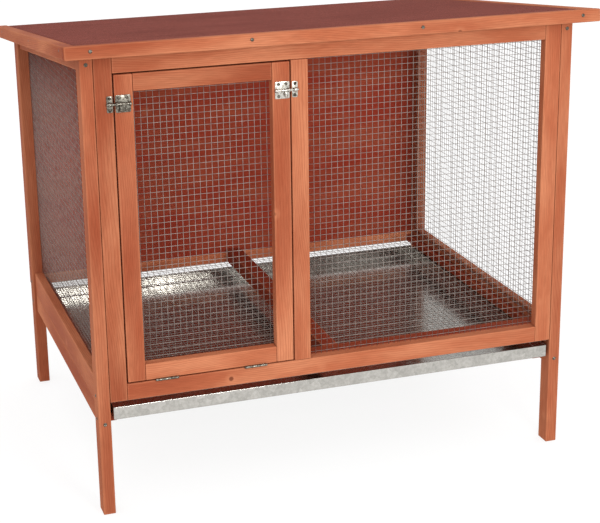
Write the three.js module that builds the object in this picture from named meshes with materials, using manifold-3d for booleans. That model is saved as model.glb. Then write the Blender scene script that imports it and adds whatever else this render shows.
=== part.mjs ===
// Rabbit hutch on four legs: a timber frame with wire-mesh sides and floor, a solid back, a drop-down
// front door held by two barrel bolts, a galvanised pull-out tray and a felted roof that falls to the back.
// Millimetres, +Z up, front towards -Y. Bench coordinates put x = 0 at the left posts' outer face,
// y = 0 at the front posts' front face and z = 0 on the ground. The outer group then moves the origin
// to the middle of the hutch's footprint.
import * as THREE from 'three';
import { mergeVertices } from 'three/addons/utils/BufferGeometryUtils.js';
import Module from 'manifold-3d';

const wasm = await Module();
wasm.setup();

// Driving dimensions
const FRAME_WIDTH = 1034;
const FRAME_DEPTH = 786;
const POST_WIDTH = 25;
const POST_DEPTH = 37;
const STILE_WIDTH = 35;
const FRONT_THICKNESS = 22;
const SIDE_THICKNESS = 19;
const MIDDLE_STILE_X = 435;
const JOINT_LINE = 1;
const SEAM = 0.5;
const TOUCH = 0.3;
const OVERCUT = 1;
const ORIGIN_Y = 402;

const FRONT_BOTTOM_Z = 246;
const OPENING_BOTTOM_Z = 281;
const OPENING_TOP_Z = 914;
const SIDE_RAIL_Z = [230, 285];
const APRON_Z = [187, 229];
const SIDE_TOP_RAIL_HEIGHT = 38;

const ROOF_PITCH = THREE.MathUtils.degToRad(6.5);
const ROOF_FRONT_Y = -27;
const ROOF_TOP_Z = 976;
const ROOF_X = [-33, 1083];
const ROOF_LENGTH = 867;
const FASCIA_WIDTH = 26;
const FASCIA_HEIGHT = 27;
const FELT_DROP = 2;
const FELT_THICKNESS = 3;
const DECK_THICKNESS = 9;

const BACK_THICKNESS = 12;
const BACK_RAIL_THICKNESS = 9.5;
const BACK_RAIL_HEIGHT = 24;
const RAIL_END_GAP = 2;
const BATTEN_GAP = 2;
const BATTEN_WIDTH = 14;
const BATTEN_HEIGHT = 18;
const FRONT_BATTEN_DEPTH = 36;
const BEARER_X = [500, 534];
const FLOOR_MESH_Z = [244.5, 245.5];
const FLOOR_MESH_Y = [2, FRAME_DEPTH - 1];

const WIRE_PITCH = 88.9;
const WIRE_BAR = 4.5;
const WIRE_THICKNESS = 1;
const SHORTEST_CELL = 0.25;
const MESH_LAP = 12;

const DOOR_GAP = 3;
const DOOR_RAIL_HEIGHT = 34;
const DOOR_STILE_WIDTH = 36;

const TRAY_X = [31, 1004];
const TRAY_Y = [3, 773];
const TRAY_Z = [206, 233];
const TRAY_SHEET = 0.8;
const RUNNER_WIDTH = 20;
const RUNNER_HEIGHT = 17;
const RUNNER_END_GAP = 3;

const HINGE_LENGTH = 48;
const HINGE_STARTS = [120, 308];
const HINGE_RADIUS = 2.5;
const HINGE_PIN_RADIUS = 1.25;
const HINGE_PIN_PLAY = 0.1;
const HINGE_AXIS_Y = -2.6;
const HINGE_LEAF_DEPTH = 18;
const HINGE_LEAF = 1.1;
const HINGE_LEAF_LIFT = 0.1;

const BOLT_Z = 855;
const BOLT_RADIUS = 2.5;
const BOLT_BORE_RADIUS = 2.8;
const BOLT_AXIS_Y = -4.4;
const BOLT_LENGTH = 49;
const BOLT_REACH = 17;
const STRAP_RADIUS = 4.3;
const STRAP_WIDTH = 4;
const LATCH_PLATE = [30, 34];
const KEEPER_PLATE = [12, 32];
const PLATE_SHEET = 1.2;
const PLATE_LIFT = 0.1;
const PLATE_INSET = 1;
const BACK_TRIM = 9;
const KNOB_INSET = 10;
const KNOB_LENGTH = 12;
const KNOB_LEAN = THREE.MathUtils.degToRad(-16);
const KNOB_STEM_RADIUS = 2.2;
const KNOB_TIP_RADIUS = 2.8;
const ROUND_STEPS = 16;

// Finishes
const finish = (color, roughness, metalness) =>
  new THREE.MeshStandardMaterial({ color, roughness, metalness });
const FIR = () => finish(0xcd7858, 0.6, 0);
const FELT = () => finish(0x7d4036, 0.95, 0);
const GALVANISED = () => finish(0xc8c3b9, 0.35, 1);
const WIRE = () => finish(0xaaa69c, 0.4, 1);
const ZINC = () => finish(0xd8d8d2, 0.3, 1);

const bench = new THREE.Group();
const door = new THREE.Group();
const roof = new THREE.Group();

function place(group, name, geometry, material) {
  const mesh = new THREE.Mesh(geometry, material());
  mesh.name = name;
  group.add(mesh);
}

// Solids between two corners, given as [low, high] along each axis
function block([x0, x1], [y0, y1], [z0, z1]) {
  const box = new THREE.BoxGeometry(x1 - x0, y1 - y0, z1 - z0);
  return box.translate((x0 + x1) / 2, (y0 + y1) / 2, (z0 + z1) / 2);
}

function prism(shape, depth, u, v, w, offset) {
  const solid = new THREE.ExtrudeGeometry(shape, { depth, bevelEnabled: false });
  return solid.applyMatrix4(new THREE.Matrix4().makeBasis(u, v, w)).translate(...offset);
}

const X = new THREE.Vector3(1, 0, 0);
const Y = new THREE.Vector3(0, 1, 0);
const Z = new THREE.Vector3(0, 0, 1);
const prismAlongX = (shape, [x0, x1]) => prism(shape, x1 - x0, Y, Z, X, [x0, 0, 0]);
const prismAlongY = (shape, [y0, y1]) => prism(shape, y1 - y0, X, Z, Y.clone().negate(), [0, y1, 0]);
const prismAlongZ = (shape, [z0, z1]) => prism(shape, z1 - z0, X, Y, Z, [0, 0, z0]);

const polygon = (points) => new THREE.Shape(points.map(([u, v]) => new THREE.Vector2(u, v)));

function rod(radius, [x0, x1], y, z) {
  const cylinder = new THREE.CylinderGeometry(radius, radius, x1 - x0, ROUND_STEPS);
  return cylinder.rotateZ(Math.PI / 2).translate((x0 + x1) / 2, y, z);
}

// Joining and cutting
function toSolid(geometry) {
  const bare = geometry.clone();
  bare.deleteAttribute('normal');
  bare.deleteAttribute('uv');
  const merged = mergeVertices(bare, 1e-4);
  const vertProperties = new Float32Array(merged.attributes.position.array);
  const triVerts = new Uint32Array(merged.index.array);
  return new wasm.Manifold(new wasm.Mesh({ numProp: 3, vertProperties, triVerts }));
}

function toGeometry(solid) {
  const { vertProperties, triVerts } = solid.getMesh();
  const geometry = new THREE.BufferGeometry();
  geometry.setAttribute('position', new THREE.BufferAttribute(vertProperties, 3));
  geometry.setIndex(new THREE.BufferAttribute(triVerts, 1));
  return geometry;
}

function carve(kept, removed) {
  const joined = kept.map(toSolid).reduce((whole, piece) => whole.add(piece));
  return toGeometry(removed.map(toSolid).reduce((whole, piece) => whole.subtract(piece), joined));
}

// Roof line: height of the deck's underside above the ground at depth y
const ROOF_STACK = FELT_DROP + FELT_THICKNESS + DECK_THICKNESS + 2 * TOUCH;
const deckUnderside = (y) =>
  ROOF_TOP_Z - (y - ROOF_FRONT_Y) * Math.tan(ROOF_PITCH) - ROOF_STACK / Math.cos(ROOF_PITCH);

// A board seen from the side whose top follows the roof
function underRoof(name, xs, [y0, y1], lowAt) {
  const outline = polygon([
    [y0, lowAt(y0)],
    [y1, lowAt(y1)],
    [y1, deckUnderside(y1)],
    [y0, deckUnderside(y0)],
  ]);
  place(bench, name, prismAlongX(outline, xs), FIR);
}

const level = (z) => () => z;

// Wire panel: a square grid of flat bars, cut from a sheet; the top edge may follow the roof
function wirePanel(prismAlong, [low, high], [u0, u1], v0, topAt) {
  const columns = Math.round((u1 - u0 - WIRE_BAR) / WIRE_PITCH);
  const columnPitch = (u1 - u0 - WIRE_BAR) / columns;
  const outline = polygon([[u0, v0], [u1, v0], [u1, topAt(u1)], [u0, topAt(u0)]]);
  const cells = [];
  for (let column = 0; column < columns; column += 1) {
    const left = u0 + WIRE_BAR + column * columnPitch;
    const right = u0 + (column + 1) * columnPitch;
    cells.push(...columnCells(left, right, v0, (u) => topAt(u) - WIRE_BAR));
  }
  const cutters = cells.map((cell) => prismAlong(cell, [low - OVERCUT, high + OVERCUT]));
  return carve([prismAlong(outline, [low, high])], cutters);
}

function columnCells(left, right, v0, topAt) {
  const lowestTop = Math.min(topAt(left), topAt(right));
  const rows = Math.ceil((lowestTop - v0) / WIRE_PITCH - SHORTEST_CELL);
  return Array.from({ length: rows }, (_, row) => {
    const low = v0 + WIRE_BAR + row * WIRE_PITCH;
    const high = row === rows - 1 ? topAt : level(low - WIRE_BAR + WIRE_PITCH);
    return polygon([[left, low], [right, low], [right, high(right)], [left, high(left)]]);
  });
}

// Timber frame
const RIGHT_POST_X = FRAME_WIDTH - POST_WIDTH;
const REAR_POST_Y = FRAME_DEPTH - POST_DEPTH;
const SIDES = [
  { side: 'left', post: [0, POST_WIDTH], inner: POST_WIDTH, inward: 1 },
  { side: 'right', post: [RIGHT_POST_X, FRAME_WIDTH], inner: RIGHT_POST_X, inward: -1 },
];

// A span that starts at the inner face of one side's posts and runs inwards (or outwards)
function fromInner({ inner, inward }, start, end) {
  const edges = [inner + inward * start, inner + inward * end];
  return edges.sort((a, b) => a - b);
}

function addPosts() {
  for (const { side, post } of SIDES) {
    underRoof(`post_front_${side}`, post, [0, POST_DEPTH], level(0));
    underRoof(`post_rear_${side}`, post, [REAR_POST_Y, FRAME_DEPTH], level(0));
  }
}

const FRONT_X = [POST_WIDTH + JOINT_LINE, RIGHT_POST_X - JOINT_LINE];
const FRONT_Y = [0, FRONT_THICKNESS];
const BAY_X = [FRONT_X[0] + STILE_WIDTH, FRONT_X[1] - STILE_WIDTH];
const MIDDLE_X = [MIDDLE_STILE_X - STILE_WIDTH / 2, MIDDLE_STILE_X + STILE_WIDTH / 2];
const RAIL_X = [BAY_X[0] + SEAM, BAY_X[1] - SEAM];

function addFrontFrame() {
  underRoof('front_stile_left', [FRONT_X[0], BAY_X[0]], FRONT_Y, level(FRONT_BOTTOM_Z));
  underRoof('front_stile_right', [BAY_X[1], FRONT_X[1]], FRONT_Y, level(FRONT_BOTTOM_Z));
  underRoof('front_rail_top', RAIL_X, FRONT_Y, level(OPENING_TOP_Z));
  place(bench, 'front_rail_bottom', block(RAIL_X, FRONT_Y, [FRONT_BOTTOM_Z, OPENING_BOTTOM_Z]), FIR);
  const middleZ = [OPENING_BOTTOM_Z + SEAM, OPENING_TOP_Z - SEAM];
  place(bench, 'front_stile_middle', block(MIDDLE_X, FRONT_Y, middleZ), FIR);
}

const FRONT_MESH_Y = [FRONT_THICKNESS + TOUCH, FRONT_THICKNESS + TOUCH + WIRE_THICKNESS];

function addFrontMesh() {
  const width = [MIDDLE_X[1] - MESH_LAP, BAY_X[1] + MESH_LAP];
  const top = level(OPENING_TOP_Z + MESH_LAP);
  const panel = wirePanel(prismAlongY, FRONT_MESH_Y, width, OPENING_BOTTOM_Z - MESH_LAP, top);
  place(bench, 'front_wire_mesh', panel, WIRE);
}

const SIDE_Y = [POST_DEPTH, REAR_POST_Y];
const CABIN_Y = [FRONT_MESH_Y[1] + TOUCH, FRAME_DEPTH - BACK_RAIL_THICKNESS - 2 * SEAM];

function addSide(sideSpec) {
  const { side } = sideSpec;
  const board = fromInner(sideSpec, -SIDE_THICKNESS, 0);
  const railBottom = (y) => deckUnderside(y) - SIDE_TOP_RAIL_HEIGHT;
  underRoof(`side_rail_top_${side}`, board, SIDE_Y, railBottom);
  place(bench, `side_rail_bottom_${side}`, block(board, SIDE_Y, SIDE_RAIL_Z), FIR);
  place(bench, `side_apron_${side}`, block(board, SIDE_Y, APRON_Z), FIR);

  const runner = fromInner(sideSpec, TOUCH, RUNNER_WIDTH);
  const runnerY = [POST_DEPTH + RUNNER_END_GAP, REAR_POST_Y - RUNNER_END_GAP];
  const runnerZ = [TRAY_Z[0] - SEAM - RUNNER_HEIGHT, TRAY_Z[0] - SEAM];
  place(bench, `tray_runner_${side}`, block(runner, runnerY, runnerZ), FIR);

  const batten = fromInner(sideSpec, BATTEN_GAP, BATTEN_GAP + BATTEN_WIDTH);
  const battenZ = [FRONT_BOTTOM_Z, FRONT_BOTTOM_Z + BATTEN_HEIGHT];
  place(bench, `floor_batten_${side}`, block(batten, CABIN_Y, battenZ), FIR);

  const meshY = [CABIN_Y[0], REAR_POST_Y + MESH_LAP];
  const meshTop = (y) => deckUnderside(y) - SIDE_TOP_RAIL_HEIGHT + MESH_LAP;
  const sheet = fromInner(sideSpec, TOUCH, TOUCH + WIRE_THICKNESS);
  const panel = wirePanel(prismAlongX, sheet, meshY, SIDE_RAIL_Z[1] - MESH_LAP, meshTop);
  place(bench, `side_wire_mesh_${side}`, panel, WIRE);
}

const BETWEEN_POSTS = [POST_WIDTH + RAIL_END_GAP, RIGHT_POST_X - RAIL_END_GAP];

function addBack() {
  const railY = [CABIN_Y[1] + SEAM, FRAME_DEPTH - SEAM];
  const railZ = [FRONT_BOTTOM_Z, FRONT_BOTTOM_Z + BACK_RAIL_HEIGHT];
  place(bench, 'back_rail_bottom', block(BETWEEN_POSTS, railY, railZ), FIR);
  const topRailY = [FRAME_DEPTH - FRONT_THICKNESS, FRAME_DEPTH - SEAM];
  underRoof('back_rail_top', BETWEEN_POSTS, topRailY, level(deckUnderside(FRAME_DEPTH) - STILE_WIDTH));
  const panelY = [FRAME_DEPTH + TOUCH, FRAME_DEPTH + TOUCH + BACK_THICKNESS];
  underRoof('back_panel', [SEAM, FRAME_WIDTH - SEAM], panelY, level(FRONT_BOTTOM_Z));
}

function addFloor() {
  const boardZ = [FRONT_BOTTOM_Z, OPENING_BOTTOM_Z];
  const sideGap = BATTEN_GAP + BATTEN_WIDTH + SEAM;
  const battenX = [POST_WIDTH + sideGap, RIGHT_POST_X - sideGap];
  const battenRear = CABIN_Y[0] + FRONT_BATTEN_DEPTH;
  place(bench, 'floor_batten_front', block(battenX, [CABIN_Y[0], battenRear], boardZ), FIR);
  place(bench, 'floor_bearer', block(BEARER_X, [battenRear + SEAM, CABIN_Y[1]], boardZ), FIR);
  const rear = level(FLOOR_MESH_Y[1]);
  const panel = wirePanel(prismAlongZ, FLOOR_MESH_Z, BETWEEN_POSTS, FLOOR_MESH_Y[0], rear);
  place(bench, 'floor_wire_mesh', panel, WIRE);
}

// Roof: boards lie in the sloping roof group, whose y runs down the slope from the front edge
function addRoof() {
  const inside = [ROOF_X[0] + FASCIA_WIDTH + TOUCH, ROOF_X[1] - FASCIA_WIDTH - TOUCH];
  const behindFront = FASCIA_WIDTH + TOUCH;
  const rearStart = ROOF_LENGTH - FASCIA_WIDTH;
  const feltZ = [-FELT_DROP - FELT_THICKNESS, -FELT_DROP];
  const deckTop = feltZ[0] - TOUCH;
  place(roof, 'fascia_front', block(ROOF_X, [0, FASCIA_WIDTH], [-FASCIA_HEIGHT, 0]), FIR);
  for (const [side, start] of [['left', ROOF_X[0]], ['right', ROOF_X[1] - FASCIA_WIDTH]]) {
    const across = [start, start + FASCIA_WIDTH];
    place(roof, `fascia_${side}`, block(across, [behindFront, ROOF_LENGTH], [-FASCIA_HEIGHT, 0]), FIR);
  }
  place(roof, 'fascia_rear', block(inside, [rearStart, ROOF_LENGTH], [-FASCIA_HEIGHT, deckTop]), FIR);
  const deckY = [behindFront, rearStart - TOUCH];
  place(roof, 'roof_deck', block(inside, deckY, [deckTop - DECK_THICKNESS, deckTop]), FIR);
  place(roof, 'roof_felt', block(inside, [behindFront, ROOF_LENGTH], feltZ), FELT);
  roof.position.set(0, ROOF_FRONT_Y, ROOF_TOP_Z);
  roof.rotation.x = -ROOF_PITCH;
}

// Door
const DOOR_X = [BAY_X[0] + DOOR_GAP, MIDDLE_X[0] - DOOR_GAP];
const DOOR_Z = [OPENING_BOTTOM_Z + DOOR_GAP, OPENING_TOP_Z - DOOR_GAP];

function addDoor() {
  const innerX = [DOOR_X[0] + DOOR_STILE_WIDTH, DOOR_X[1] - DOOR_STILE_WIDTH];
  const railX = [innerX[0] + SEAM, innerX[1] - SEAM];
  place(door, 'door_stile_left', block([DOOR_X[0], innerX[0]], FRONT_Y, DOOR_Z), FIR);
  place(door, 'door_stile_right', block([innerX[1], DOOR_X[1]], FRONT_Y, DOOR_Z), FIR);
  const bottomZ = [DOOR_Z[0], DOOR_Z[0] + DOOR_RAIL_HEIGHT];
  const topZ = [DOOR_Z[1] - DOOR_RAIL_HEIGHT, DOOR_Z[1]];
  place(door, 'door_rail_bottom', block(railX, FRONT_Y, bottomZ), FIR);
  place(door, 'door_rail_top', block(railX, FRONT_Y, topZ), FIR);
  const meshX = [innerX[0] - MESH_LAP, innerX[1] + MESH_LAP];
  const top = level(topZ[0] + MESH_LAP);
  const panel = wirePanel(prismAlongY, FRONT_MESH_Y, meshX, bottomZ[1] - MESH_LAP, top);
  place(door, 'door_wire_mesh', panel, WIRE);
}

// Butt hinge in the gap under the door, its knuckles just proud of the front
const HINGE_AXIS_Z = OPENING_BOTTOM_Z + DOOR_GAP / 2;
const LEAF_Y = [TOUCH, HINGE_LEAF_DEPTH];

function hingeLeaf(x0, knuckles, [z0, z1]) {
  const plate = block([x0, x0 + HINGE_LENGTH], LEAF_Y, [z0, z1]);
  const barrels = knuckles.map((span) => rod(HINGE_RADIUS, span, HINGE_AXIS_Y, HINGE_AXIS_Z));
  const tongues = knuckles.map((span) => block(span, [HINGE_AXIS_Y, LEAF_Y[0] + SEAM], [z0, z1]));
  const boreRadius = HINGE_PIN_RADIUS + HINGE_PIN_PLAY;
  const bore = rod(boreRadius, [x0 - OVERCUT, x0 + HINGE_LENGTH + OVERCUT], HINGE_AXIS_Y, HINGE_AXIS_Z);
  return carve([plate, ...barrels, ...tongues], [bore]);
}

function addHinge(side, x0) {
  const third = HINGE_LENGTH / 3;
  const [a, b, c, d] = [x0, x0 + third, x0 + 2 * third, x0 + HINGE_LENGTH];
  const frameLow = OPENING_BOTTOM_Z + HINGE_LEAF_LIFT;
  const doorHigh = DOOR_Z[0] - HINGE_LEAF_LIFT;
  const frameZ = [frameLow, frameLow + HINGE_LEAF];
  const doorZ = [doorHigh - HINGE_LEAF, doorHigh];
  const frameLeaf = hingeLeaf(x0, [[a, b - TOUCH], [c + TOUCH, d]], frameZ);
  const doorLeaf = hingeLeaf(x0, [[b + TOUCH, c - TOUCH]], doorZ);
  place(bench, `hinge_frame_leaf_${side}`, frameLeaf, ZINC);
  place(door, `hinge_door_leaf_${side}`, doorLeaf, ZINC);
  place(bench, `hinge_pin_${side}`, rod(HINGE_PIN_RADIUS, [a, d], HINGE_AXIS_Y, HINGE_AXIS_Z), ZINC);
}

// Barrel bolt across the gap beside the door; outward is +1 where the bolt shoots towards +x
function along(edge, outward, start, end) {
  return [edge + outward * start, edge + outward * end].sort((a, b) => a - b);
}

function strapPlate(xs, height, straps) {
  const plateY = [-PLATE_LIFT - PLATE_SHEET, -PLATE_LIFT];
  const plate = block(xs, plateY, [BOLT_Z - height / 2, BOLT_Z + height / 2]);
  const hoops = straps.flatMap((span) => [
    rod(STRAP_RADIUS, span, BOLT_AXIS_Y, BOLT_Z),
    block(span, [BOLT_AXIS_Y, plateY[1]], [BOLT_Z - STRAP_RADIUS, BOLT_Z + STRAP_RADIUS]),
  ]);
  const through = [xs[0] - OVERCUT, xs[1] + OVERCUT];
  const trim = block(through, [plateY[1], BACK_TRIM], [BOLT_Z - BACK_TRIM, BOLT_Z + BACK_TRIM]);
  const bore = rod(BOLT_BORE_RADIUS, through, BOLT_AXIS_Y, BOLT_Z);
  return carve([plate, ...hoops], [bore, trim]);
}

function slidingBolt(edge, outward) {
  const reach = along(edge, outward, BOLT_REACH - BOLT_LENGTH, BOLT_REACH);
  const shank = rod(BOLT_RADIUS, reach, BOLT_AXIS_Y, BOLT_Z);
  const stem = new THREE.CylinderGeometry(KNOB_STEM_RADIUS, KNOB_STEM_RADIUS, KNOB_LENGTH, ROUND_STEPS);
  stem.rotateX(Math.PI / 2);
  stem.translate(0, 0, -KNOB_LENGTH / 2);
  const tip = new THREE.SphereGeometry(KNOB_TIP_RADIUS, ROUND_STEPS, ROUND_STEPS / 2);
  tip.translate(0, 0, -KNOB_LENGTH);
  const knobX = edge - outward * KNOB_INSET;
  const hang = (piece) => piece.rotateX(KNOB_LEAN).translate(knobX, BOLT_AXIS_Y, BOLT_Z);
  return carve([shank, hang(stem), hang(tip)], []);
}

function addLatch(side, doorEdge, stileEdge, outward) {
  const plateX = along(doorEdge, outward, -PLATE_INSET - LATCH_PLATE[0], -PLATE_INSET);
  const straps = [
    [plateX[0], plateX[0] + STRAP_WIDTH],
    [plateX[1] - STRAP_WIDTH, plateX[1]],
  ];
  place(door, `latch_plate_${side}`, strapPlate(plateX, LATCH_PLATE[1], straps), ZINC);
  place(door, `latch_bolt_${side}`, slidingBolt(doorEdge, outward), ZINC);
  const keeperX = along(stileEdge, outward, PLATE_INSET, PLATE_INSET + KEEPER_PLATE[0]);
  place(bench, `latch_keeper_${side}`, strapPlate(keeperX, KEEPER_PLATE[1], [keeperX]), ZINC);
}

// Tray: a shallow open pan of thin sheet
function addTray() {
  const inset = ([low, high]) => [low + TRAY_SHEET, high - TRAY_SHEET];
  const pan = block(TRAY_X, TRAY_Y, TRAY_Z);
  const hollow = block(inset(TRAY_X), inset(TRAY_Y), [TRAY_Z[0] + TRAY_SHEET, TRAY_Z[1] + OVERCUT]);
  place(bench, 'tray', carve([pan], [hollow]), GALVANISED);
}

addPosts();
addFrontFrame();
addFrontMesh();
SIDES.forEach(addSide);
addBack();
addFloor();
addRoof();
addDoor();
addHinge('left', HINGE_STARTS[0]);
addHinge('right', HINGE_STARTS[1]);
addLatch('left', DOOR_X[0], BAY_X[0], -1);
addLatch('right', DOOR_X[1], MIDDLE_X[0], 1);
addTray();

// Origin: middle of the roof's footprint, on the ground
const hutch = new THREE.Group();
bench.add(door, roof);
bench.position.set(-(ROOF_X[0] + ROOF_X[1]) / 2, -ORIGIN_Y, 0);
hutch.add(bench);

export default hutch;
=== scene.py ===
"""Looks of a timber rabbit hutch: every board, wire, hinge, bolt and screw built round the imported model."""

import math

import bpy
import numpy as np
from bpy.props import FloatProperty, FloatVectorProperty, PointerProperty
from mathutils import Matrix, Vector


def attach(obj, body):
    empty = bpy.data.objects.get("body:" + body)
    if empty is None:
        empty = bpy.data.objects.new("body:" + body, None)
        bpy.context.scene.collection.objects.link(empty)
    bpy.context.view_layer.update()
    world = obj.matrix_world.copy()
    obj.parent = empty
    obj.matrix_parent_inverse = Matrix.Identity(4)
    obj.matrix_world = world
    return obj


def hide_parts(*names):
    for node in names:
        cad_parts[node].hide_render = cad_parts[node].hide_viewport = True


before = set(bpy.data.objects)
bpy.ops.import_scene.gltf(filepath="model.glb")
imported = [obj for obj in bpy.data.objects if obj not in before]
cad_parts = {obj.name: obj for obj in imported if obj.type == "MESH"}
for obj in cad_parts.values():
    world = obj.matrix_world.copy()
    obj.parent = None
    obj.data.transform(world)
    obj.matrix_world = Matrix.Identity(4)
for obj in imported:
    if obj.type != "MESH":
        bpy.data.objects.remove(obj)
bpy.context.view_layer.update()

bl_info = {
    "name": "Rabbit hutch",
    "version": (1, 0, 0),
    "blender": (4, 5, 0),
    "location": "View3D > Sidebar > Hutch",
    "description": "Builds the boards, wire, tray and fittings of a rabbit hutch round its fixed frame",
    "category": "Object",
}

MM = 0.001
ALONG_X, ALONG_Y, ALONG_Z = 0, 1, 2
X, Y, Z = np.eye(3)
FLAT_MARGIN = 0.7 * MM
BOW_ROOM = 0.4 * MM
SEED = 20


def shade(red, green, blue):
    """The linear colour of a display colour given from 0 to 255: below a small value a straight line, above
    it a power of 2.4."""
    display = np.array([red, green, blue]) / 255
    curve = ((display + 0.055) / 1.055) ** 2.4
    return tuple(float(value) for value in np.where(display <= 0.04045, display / 12.92, curve))


def generator(*words):
    """Random numbers that are the same each run, and differ from piece to piece by the words of its name."""
    return np.random.default_rng([SEED, *"".join(map(str, words)).encode()])


# Settings


def length(name, description, default, **limits):
    """A property for a length, kept in metres."""
    return FloatProperty(
        name=name, description=description, default=default, unit="LENGTH", precision=5, **limits
    )


def angle(name, description, degrees):
    """A property for an angle, given in degrees and kept in radians."""
    return FloatProperty(name=name, description=description, default=math.radians(degrees), subtype="ANGLE")


def power(name, description, default):
    """A property for the power of a light."""
    return FloatProperty(name=name, description=description, default=default, unit="POWER")


def colour(name, description, default):
    """A property for a colour."""
    return FloatVectorProperty(
        name=name, description=description, default=default, subtype="COLOR", min=0.0, max=1.0
    )


class HutchTimber(bpy.types.PropertyGroup):
    """Sizes and stain of the boards."""

    arris: length("Arris", "Radius sanded onto the edges of a board", 1.3 * MM)
    round_over: length("Round over", "Radius of the fascias' softer edges", 2.6 * MM)
    wander: length("Wander", "How far a board bows from straight", 0.25 * MM)
    ring_width: length("Ring width", "Distance between growth rings", 4.2 * MM)
    light: colour("Pale stain", "Stain where the wood takes little of it", shade(187, 119, 86))
    mid: colour("Stain", "Stain on most of a face", shade(169, 97, 67))
    dark: colour("Deep stain", "Stain in the latewood and on end grain", shade(134, 61, 39))
    knot: colour("Knot", "Heart of a knot", shade(86, 40, 27))
    inner: colour("Inner stain", "Stain on the back panel and the inner boards", shade(160, 58, 43))


class HutchRoof(bpy.types.PropertyGroup):
    """Sizes and colour of the roof covering."""

    pitch: angle("Pitch", "Fall of the roof towards the back", 6.5)
    granule: length("Granule", "Size of the mineral granules", 1.6 * MM)
    ripple: length("Ripple", "Height of the waves in the felt", 0.3 * MM)
    felt: colour("Felt", "Mineral felt", shade(152, 84, 74))
    felt_dark: colour("Felt shade", "Darker granules", shade(98, 46, 38))


class HutchWire(bpy.types.PropertyGroup):
    """Sizes and colour of the welded wire."""

    pitch: length("Pitch", "Distance between wires", 12.7 * MM)
    gauge: length("Gauge", "Thickness of a wire", 0.98 * MM)
    sway: length("Sway", "How far a wire strays from straight", 0.12 * MM)
    zinc: colour("Wire", "Galvanised wire", shade(148, 139, 132))


class HutchTray(bpy.types.PropertyGroup):
    """Sizes and colour of the tray."""

    sheet: length("Sheet", "Thickness of the sheet", 0.8 * MM)
    bend: length("Bend", "Radius of the bend at the foot of the walls", 2.0 * MM)
    corner: length("Corner", "Radius of the upright corners", 2.5 * MM)
    hem: length("Hem", "Depth of the folded rim", 7.0 * MM)
    zinc: colour("Sheet zinc", "Galvanised sheet", shade(198, 195, 189))
    dull: colour("Dull zinc", "Weathered crystals", shade(162, 160, 154))


class HutchFittings(bpy.types.PropertyGroup):
    """Sizes and colours of the hinges, bolts and screws."""

    plate: length("Plate", "Thickness of the latch plates", 1.2 * MM)
    plate_corner: length("Plate corner", "Corner radius of the plates", 2.2 * MM)
    bolt_radius: length("Bolt radius", "Radius of the sliding bolt", 2.5 * MM)
    strap_radius: length("Strap radius", "Outer radius of the straps round the bolt", 4.3 * MM)
    knob_from_tip: length("Knob place", "Distance of the knob from the bolt's tip", 27 * MM)
    knuckle_radius: length("Knuckle radius", "Outer radius of the hinge knuckles", 2.5 * MM)
    screw_radius: length("Screw", "Radius of the frame screws' heads", 4.0 * MM)
    zinc: colour("Zinc plate", "Bright zinc plating", shade(208, 205, 197))
    worn: colour("Worn plate", "Plating dulled by handling", shade(142, 138, 127))
    steel: colour("Screw steel", "Dulled screw heads", shade(82, 76, 68))


class HutchStage(bpy.types.PropertyGroup):
    """Camera, lights and floor."""

    eye: FloatVectorProperty(
        name="Eye", description="Place of the camera", default=(-1.0668, -3.2603, 1.5026),
        subtype="TRANSLATION",
    )
    turn: angle("Turn", "Camera's turn from straight back", 18.805)
    tilt: angle("Tilt", "Camera's tilt below level", 17.767)
    roll: angle("Roll", "Camera's roll", -0.729)
    lens: FloatProperty(
        name="Lens", description="Focal length on a 36 mm sensor", default=93.69, unit="CAMERA"
    )
    shift: FloatProperty(name="Shift", description="Upright shift of the lens", default=-0.03)
    sky: FloatProperty(name="Sky", description="Strength of the light from all round", default=1.05)
    key: power("Key light", "Large soft light from the left", 34.0)
    fill: power("Fill light", "Smaller light that the tray reflects", 30.0)
    floor_size: length("Floor", "Side of the floor", 30.0)
    floor: colour("Floor colour", "Pale studio floor", (0.2, 0.2, 0.2))
    glow: FloatProperty(name="Glow", description="Light that the floor gives off", default=0.79)


SETTINGS = {
    "hutch_timber": HutchTimber,
    "hutch_roof": HutchRoof,
    "hutch_wire": HutchWire,
    "hutch_tray": HutchTray,
    "hutch_fittings": HutchFittings,
    "hutch_stage": HutchStage,
}


# Surfaces


class Shape:
    """A closed surface before it becomes a mesh: points, four-sided faces, end faces, values at points."""

    def __init__(self, points, quads, caps=(), values=None):
        self.points = points.reshape(-1, 3)
        self.quads = quads
        self.caps = list(caps)
        self.values = values or {}

    def moved(self, change):
        """The same surface with its points changed by a function of all of them."""
        return Shape(change(self.points), self.quads, self.caps, self.values)

    def inside_out(self):
        """The same surface facing the other way."""
        return Shape(self.points, self.quads[:, ::-1], [cap[::-1] for cap in self.caps], self.values)


def ring_quads(rows, columns):
    """Faces between neighbouring closed rings: a point, the next one, and the same two a ring on."""
    row = np.arange(rows - 1)[:, None] * columns
    column = np.arange(columns)[None, :]
    following = (column + 1) % columns
    quads = [row + column, row + following, row + columns + following, row + columns + column]
    return np.stack(quads, -1).reshape(-1, 4)


def tube(rings, values=None):
    """A closed surface through rings (rows by columns of points) that turn counter-clockwise about their
    travel, with a flat face over each end."""
    rows, columns = rings.shape[:2]
    ring = np.arange(columns)
    return Shape(rings, ring_quads(rows, columns), [ring[::-1], ring + (rows - 1) * columns], values)


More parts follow.
